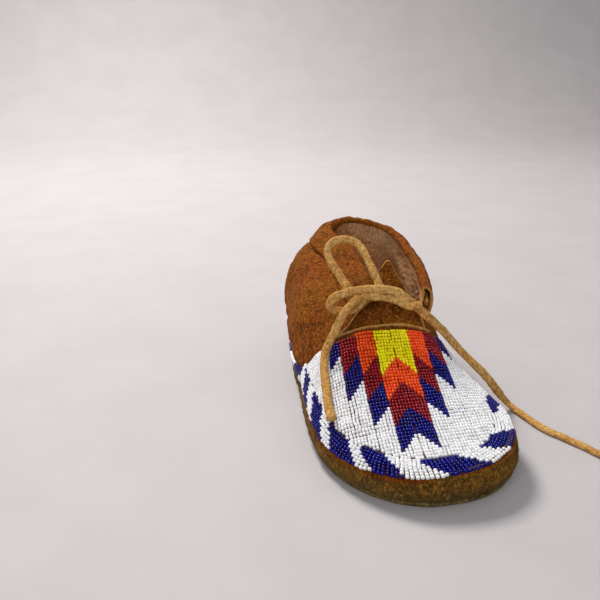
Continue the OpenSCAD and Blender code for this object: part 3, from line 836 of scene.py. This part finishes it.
def inside(polygon, x, y):
    """Whether plan points lie in a polygon."""
    hit = np.zeros(np.shape(x), bool)
    for (x0, y0), (x1, y1) in zip(polygon, np.roll(polygon, -1, 0)):
        crosses = (y0 > y) != (y1 > y)
        with np.errstate(divide="ignore", invalid="ignore"):
            hit ^= crosses & (x < x0 + (y - y0) * (x1 - x0) / (y1 - y0))
    return hit


# Rows across the vamp: columns of six beads a side, each colour boundary falling outwards
COLUMN_BEADS = 6
FIRST_STEP = [9, 8, 7, 6]
STEP_ROWS = 8
LADDER = ["yellow", "orange", "red", "navy", "white"]
LAST_COLUMN_BEADS = 22


def vamp_colour(row, bead):
    column, place = divmod(bead, COLUMN_BEADS)
    if bead >= LAST_COLUMN_BEADS:
        return "white"
    past = row - FIRST_STEP[column] - place
    step = column + (0 if past < 0 else 1 + int(past / STEP_ROWS))
    return LADDER[min(step, 4)]


rear_r = np.linspace(0.985, -0.985, 60)
rear_line = vamp_at(rear_r, vamp_rear(rear_r) - 2.5)[:, :2]
field = np.concatenate([np.array(inner_line), rear_line])
ridge_y = np.linspace(SEAM_Y - 2.7, -HALF_LENGTH + 4, 1200)
AXIS_SLOPE = 3.5 / 60
axis_x = -0.5 - AXIS_SLOPE * (SEAM_Y - ridge_y)
ridge = dome(axis_x, ridge_y)
ridge_length = np.concatenate([[0], np.cumsum(np.linalg.norm(np.diff(ridge, axis=0), axis=1))])
beads = {name: [] for name in LADDER}
for row in range(-9, int(ridge_length[-1] / ROW_PITCH)):
    if row < 0:
        y0 = ridge_y[0] + (-row - 0.5) * ROW_PITCH * 0.86
        x0 = -0.5
    else:
        y0 = float(np.interp((row + 0.5) * ROW_PITCH, ridge_length, ridge_y))
        x0 = float(np.interp(-y0, -ridge_y, axis_x))
    for side in SIDES:
        reach = side * np.linspace(0, 62, 400)
        bow = mix(0.0055, 0.0008, min(max(row, 0) / 40, 1)) * reach**2
        x, y = x0 + reach, y0 + bow
        keep = outline_share(x, y) < 0.995
        line = dome(x[keep], y[keep])
        step = np.concatenate([[0], np.cumsum(np.linalg.norm(np.diff(line, axis=0), axis=1))])
        wave = rng.uniform(-0.08, 0.08)
        for bead in range(int(step[-1] / BEAD_PITCH) - 1):
            d = BEAD_PITCH * (bead + 0.5) + 0.1 + 0.12 * (bead // COLUMN_BEADS)
            at = np.array([np.interp(d, step, line[:, i]) for i in range(3)])
            if not inside(field, at[:1], at[1:2])[0]:
                continue
            here = np.array([at[0], at[1]])
            dx = dome(here[0] + 0.5, here[1]) - dome(here[0] - 0.5, here[1])
            dy = dome(here[0], here[1] + 0.5) - dome(here[0], here[1] - 0.5)
            out = unit(np.cross(dx, dy))
            ahead = np.array([np.interp(d + 0.5, step, line[:, i]) for i in range(3)])
            run = unit(ahead - at)
            arch = 0.22 * math.sin(math.pi * (bead % COLUMN_BEADS + 0.5) / COLUMN_BEADS)
            at = at + out * (0.8 + arch) + np.array([0, wave, 0])
            beads[vamp_colour(row, bead)].append((at, run, unit(out - run * (out @ run))))

for name in LADDER:
    bead_mesh(f"vamp_{name}", name, beads[name], f"vamp_beads_{name}")
for name in lane:
    bead_mesh(f"lane_{name}", name, lane[name], f"lane_beads_{name}")


# ---------------------------------------------------------------- stitches
def stitches(name, runs, thick, node, material=thread):
    """Thread bars that rise from the hide and dip back in. runs: (start, end, outward)."""
    points, faces = [], []
    for start, end, out in runs:
        start, end, out = (np.asarray(p, float) for p in (start, end, out))
        ahead = unit(end - start)
        flank = unit(np.cross(ahead, out))
        for f in np.linspace(0, 1, 9):
            centre = mix(start, end, f) + out * (math.sin(math.pi * f) * thick * 0.9 - thick * 0.35)
            for a in np.linspace(0, 2 * np.pi, 8, endpoint=False):
                points.append(centre + (flank * math.cos(a) + out * math.sin(a)) * thick / 2)
        base = len(points) - 72
        for i in range(8):
            for j in range(8):
                a, b = base + i * 8 + j, base + i * 8 + (j + 1) % 8
                faces.append([a, b, b + 8, a + 8])
        faces += [[base + j for j in range(7, -1, -1)], [base + 64 + j for j in range(8)]]
    piece = add_mesh(name, points, faces, [material], "shoe")
    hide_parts(node)


def on_wall(side, s, below, out):
    q = np.array([1 - below / wall_height(side, s)])
    s = np.array([s])
    normal = wall_out(side, s, q)
    return (wall(side, s, q) + normal * out)[0], normal[0]


runs = []
for side in SIDES:
    for i in range(1, 44):
        (a, n), (b, _) = on_wall(side, i / 46, 12.0, 2.0), on_wall(side, i / 46 + 0.011, 12.0, 2.0)
        runs.append((a, b, n))
stitches("cuff_thread", runs, 0.5, "cuff_stitches")

runs = []
for side in SIDES:
    for below in np.linspace(16, 44, 11):
        (a, n), (b, _) = on_wall(side, 0.925, below, 1.7), on_wall(side, 0.925, below + 1.5, 1.7)
        runs.append((a, b, n))
stitches("back_thread", runs, 0.5, "back_stitches")

runs = []
for r in np.linspace(-0.5, 0.5, 15):
    a = vamp_at(np.array([r]), vamp_rear(np.array([r])) - 1.6)[0]
    b = vamp_at(np.array([r + 0.01]), vamp_rear(np.array([r + 0.01])) - 0.4)[0]
    runs.append((a + [0, 0, 0.3], b + [0, 0, 0.5], np.array([0, -0.45, 0.9])))
stitches("tongue_thread", runs, 0.5, "tongue_stitches", dark_thread)

runs = []
for k in range(-58, 59):
    a, b = (np.array([*edge(g, 0.9), SOLE_THICK]) for g in (k / 60, (k + 0.45) / 60))
    runs.append((a, b, np.array([0, 0, 1.0])))
stitches("sole_thread", runs, 0.6, "sole_stitches")

# ---------------------------------------------------------------- floor and light
floor_material, tree, shader = new_material("floor")
mottle = noise(tree, 60, 4, 0.6)
speck = noise(tree, 3, 3, 0.7)
colour = blend_colour(tree, linear(195, 189, 189), linear(191, 185, 185),
                      levels(tree, mottle, 0.35, 0.65))
colour = blend_colour(tree, colour, linear(176, 168, 162), levels(tree, speck, 0.74, 0.84, 0, 0.35))
tree.links.new(colour, shader.inputs["Base Color"])
shader.inputs["Roughness"].default_value = 0.7
sweep_profile = ([(y, 0.0) for y in np.linspace(-3.0, 0.9, 8)]
                 + [(0.9 + 0.5 * math.sin(a), 0.5 - 0.5 * math.cos(a))
                    for a in np.linspace(0.1, np.pi / 2, 16)] + [(1.4, 2.2)])
points = [(x, y, z) for x in (-2.4, 2.4) for y, z in sweep_profile]
n = len(sweep_profile)
mesh = bpy.data.meshes.new("floor")
mesh.from_pydata(points, [], [[i, n + i, n + i + 1, i + 1] for i in range(n - 1)])
mesh.materials.append(floor_material)
mesh.polygons.foreach_set("use_smooth", [True] * (n - 1))
floor = bpy.data.objects.new("floor", mesh)
bpy.context.collection.objects.link(floor)


def area_light(name, place, target, size, power, colour):
    light = bpy.data.lights.new(name, "AREA")
    light.size, light.energy, light.color = size, power, colour
    holder = bpy.data.objects.new(name, light)
    holder.location = place
    holder.rotation_euler = (Vector(target) - Vector(place)).to_track_quat("-Z", "Y").to_euler()
    bpy.context.collection.objects.link(holder)


area_light("key", (-0.33, 0.9, 1.15), (0, 0, 0.03), 0.42, 21, (1.0, 0.98, 0.96))
area_light("front_fill", (-0.5, -0.9, 0.8), (0, 0, 0.03), 0.9, 5.6, (0.95, 0.97, 1.0))
area_light("side_wash", (0.9, 0.1, 1.3), (0, 0, 0.03), 1.2, 2.2, (1.0, 1.0, 1.0))
world = bpy.data.worlds.new("world")
world.use_nodes = True
world.node_tree.nodes["Background"].inputs["Color"].default_value = (0.82, 0.84, 0.88, 1)
world.node_tree.nodes["Background"].inputs["Strength"].default_value = 0.3
bpy.context.scene.world = world
